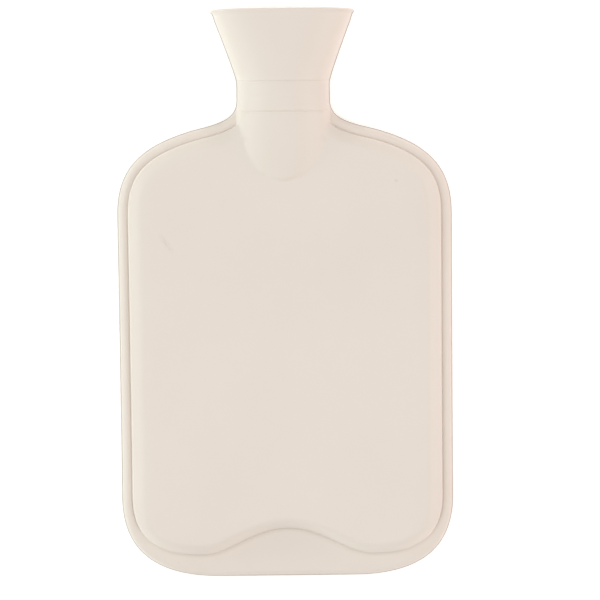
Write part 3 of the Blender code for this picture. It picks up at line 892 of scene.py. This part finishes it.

# Faint marks of handling on the face.  reach is a mark's half lengths, turn is in degrees.
Mark = namedtuple("Mark", "middle reach turn strength")
MARKS = (
    Mark((-0.0707, 0.0303, 0.0228), (0.0082, 0.0026, 0.0080), -54.0, 0.140),
    Mark((0.0667, 0.0664, 0.0271), (0.0016, 0.0013, 0.0080), 0.0, 0.240),
    Mark((-0.0660, -0.1605, 0.0110), (0.0010, 0.0009, 0.0060), 0.0, 0.080),
    Mark((-0.0500, -0.1655, 0.0110), (0.0009, 0.0008, 0.0060), 0.0, 0.080),
)


def finish_surface(name, finish):
    """Cloudy tone, a gloss that varies with it and a fine grain, as one material."""
    material, tree, shader = new_material(name, finish.colour, finish.roughness)
    coordinates = object_coordinates(tree)
    tone = place_group(tree, UNEVEN_TONE, (("Scale", finish.cloud), ("Dark Tone", finish.dark),
                                           ("Light Tone", finish.light)))
    grain = place_group(tree, MOULDED_GRAIN, (("Scale", finish.grain),))
    for node in (tone, grain):
        tree.links.new(coordinates, node.inputs["Coordinates"])
    tree.links.new(tone.outputs["Colour"], shader.inputs["Base Color"])
    gloss = tree.nodes.new("ShaderNodeMapRange")
    gloss.inputs["To Min"].default_value = finish.roughness - GLOSS_CHANGE
    gloss.inputs["To Max"].default_value = finish.roughness + GLOSS_CHANGE
    tree.links.new(tone.outputs["Mask"], gloss.inputs["Value"])
    tree.links.new(gloss.outputs["Result"], shader.inputs["Roughness"])
    bump = tree.nodes.new("ShaderNodeBump")
    bump.inputs["Strength"].default_value = finish.depth
    bump.inputs["Distance"].default_value = GRAIN_HEIGHT
    tree.links.new(grain.outputs["Height"], bump.inputs["Height"])
    tree.links.new(bump.outputs["Normal"], shader.inputs["Normal"])
    return material, tree, shader, tone.outputs["Colour"]


def plain_finish(name, finish):
    return finish_surface(name, finish)[0]


def paint_edge_shade(tree, colour):
    """The colour, with painted shade where the flash is marked."""
    edge = tree.nodes.new("ShaderNodeAttribute")
    edge.attribute_name = EDGE_SHADE_ATTRIBUTE
    # painted shade: the marked flash is multiplied by a darker tone
    return mix_colours(tree, edge.outputs["Fac"], colour, EDGE_SHADE_TONE, "MULTIPLY")


def add_marks(tree, shader, colour):
    """Give the shader the colour, darker where the bottle has been handled."""
    coordinates = object_coordinates(tree)
    for mark in MARKS:
        centre = tree.nodes.new("ShaderNodeMapping")
        centre.vector_type = "TEXTURE"
        centre.inputs["Location"].default_value = mark.middle
        centre.inputs["Rotation"].default_value = (0.0, 0.0, math.radians(mark.turn))
        centre.inputs["Scale"].default_value = mark.reach
        tree.links.new(coordinates, centre.inputs["Vector"])
        spot = place_group(tree, HANDLING_MARK, ())
        tree.links.new(centre.outputs["Vector"], spot.inputs["Coordinates"])
        amount = combine(tree, "MULTIPLY", spot.outputs["Mask"], mark.strength)
        colour = mix_colours(tree, amount, colour, HANDLING_DIRT, "MULTIPLY")
    tree.links.new(colour, shader.inputs["Base Color"])


def bottle_rubber():
    """The cream rubber, with painted shade along its flash, and its marks."""
    material, tree, shader, colour = finish_surface("cream_rubber", CREAM_RUBBER)
    add_marks(tree, shader, paint_edge_shade(tree, colour))
    return material


FLOOR_COLOUR = (0.98, 0.98, 0.98, 1.0)
FLOOR_ROUGHNESS = 0.9
FLOOR_GLOW = (0.22, 0.75)          # near the bottle, and far from the softboxes
FLOOR_GLOW_REACH = (0.6, 1.6)      # distances over which the glow changes


def floor_material():
    """White all the way out: it glows a little, and more where the softboxes don't reach."""
    material, tree, shader = new_material("white_floor", FLOOR_COLOUR, FLOOR_ROUGHNESS)
    away = tree.nodes.new("ShaderNodeVectorMath")
    away.operation = "LENGTH"
    tree.links.new(object_coordinates(tree), away.inputs["Vector"])
    glow = stretch(tree, away.outputs["Value"], *FLOOR_GLOW_REACH)
    near, far = ((level, level, level, 1.0) for level in FLOOR_GLOW)
    tree.links.new(mix_colours(tree, glow, near, far), shader.inputs["Emission Color"])
    shader.inputs["Emission Strength"].default_value = 1.0
    return material


# ------------------------------------------------------------------ camera and lights
PHOTO_WIDTH = 0.360                # what the photo's 600 pixels span at the seam's level
PHOTO_CENTRE = (0.0087, -0.0040)   # where the photo's centre lies on the part
PHOTO_TURN = -0.64                 # degrees
CAMERA_AWAY = 2.3
CLIP_END = 20.0
SENSOR = 36.0                      # millimetres


def add_camera():
    data = bpy.data.cameras.new("photo_camera")
    data.sensor_width = SENSOR
    data.lens = SENSOR * CAMERA_AWAY / PHOTO_WIDTH
    data.clip_end = CLIP_END
    camera = bpy.data.objects.new("photo_camera", data)
    camera.location = (*PHOTO_CENTRE, BODY_MIDDLE + CAMERA_AWAY)
    camera.rotation_euler = (0.0, 0.0, math.radians(PHOTO_TURN))
    bpy.context.scene.collection.objects.link(camera)
    bpy.context.scene.camera = camera


# Angles are in degrees and power is in watts.  The high boxes also show as soft gloss on the
# rubber; the low ones only shade its slopes.
Softbox = namedtuple("Softbox", "name azimuth elevation distance size power gloss colour")
SOFTBOXES = (
    Softbox("overhead_softbox", 0.0, 89.9, 1.6, 1.2, 7.4, True, (1.0, 1.0, 1.0)),
    Softbox("left_high_softbox", 180.0, 50.0, 1.6, 0.9, 4.2, True, (1.0, 1.0, 1.0)),
    Softbox("right_high_softbox", 0.0, 50.0, 1.6, 0.9, 3.8, True, (1.0, 1.0, 1.0)),
    Softbox("left_low_softbox", 180.0, 6.0, 1.6, 0.3, 10.6, False, (0.82, 1.0, 0.975)),
    Softbox("right_low_softbox", 0.0, 6.0, 1.6, 0.3, 7.0, False, (1.0, 0.700, 0.665)),
    Softbox("top_low_softbox", 90.0, 6.0, 1.6, 0.3, 5.9, False, (1.0, 1.0, 1.0)),
    Softbox("bottom_low_softbox", -90.0, 14.0, 1.6, 0.6, 3.2, False, (1.0, 1.0, 1.0)),
)


def add_lights():
    for box in SOFTBOXES:
        data = bpy.data.lights.new(box.name, "AREA")
        data.size = box.size
        data.energy = box.power
        data.color = box.colour
        light = bpy.data.objects.new(box.name, data)
        azimuth, elevation = math.radians(box.azimuth), math.radians(box.elevation)
        towards = Vector((math.cos(azimuth) * math.cos(elevation),
                          math.sin(azimuth) * math.cos(elevation), math.sin(elevation)))
        light.location = towards * box.distance
        light.visible_glossy = box.gloss
        light.rotation_euler = towards.to_track_quat("Z", "Y").to_euler()
        bpy.context.scene.collection.objects.link(light)


WORLD_LIGHT = 0.50                 # what lights the bottle
WORLD_SEEN = 1.0                   # what the camera sees
WHITE = (1.0, 1.0, 1.0, 1.0)


def add_world():
    """An even, dim light from all round, that the camera sees as plain white."""
    world = bpy.data.worlds.new("studio")
    world.use_nodes = True
    tree = world.node_tree
    sky = tree.nodes["Background"]
    sky.inputs["Color"].default_value = WHITE
    strength = tree.nodes.new("ShaderNodeMapRange")
    strength.inputs["To Min"].default_value = WORLD_LIGHT
    strength.inputs["To Max"].default_value = WORLD_SEEN
    tree.links.new(tree.nodes.new("ShaderNodeLightPath").outputs["Is Camera Ray"],
                   strength.inputs["Value"])
    tree.links.new(strength.outputs["Result"], sky.inputs["Strength"])
    bpy.context.scene.world = world
    bpy.context.scene.view_settings.view_transform = "Standard"


add_camera()
add_lights()
add_world()
build_floor(floor_material())
build_bottle(bottle_rubber())
build_insert(plain_finish("insert_plastic", INSERT_PLASTIC))
build_washer(plain_finish("washer_rubber", WASHER_RUBBER))
build_stopper(plain_finish("stopper_plastic", STOPPER_PLASTIC))
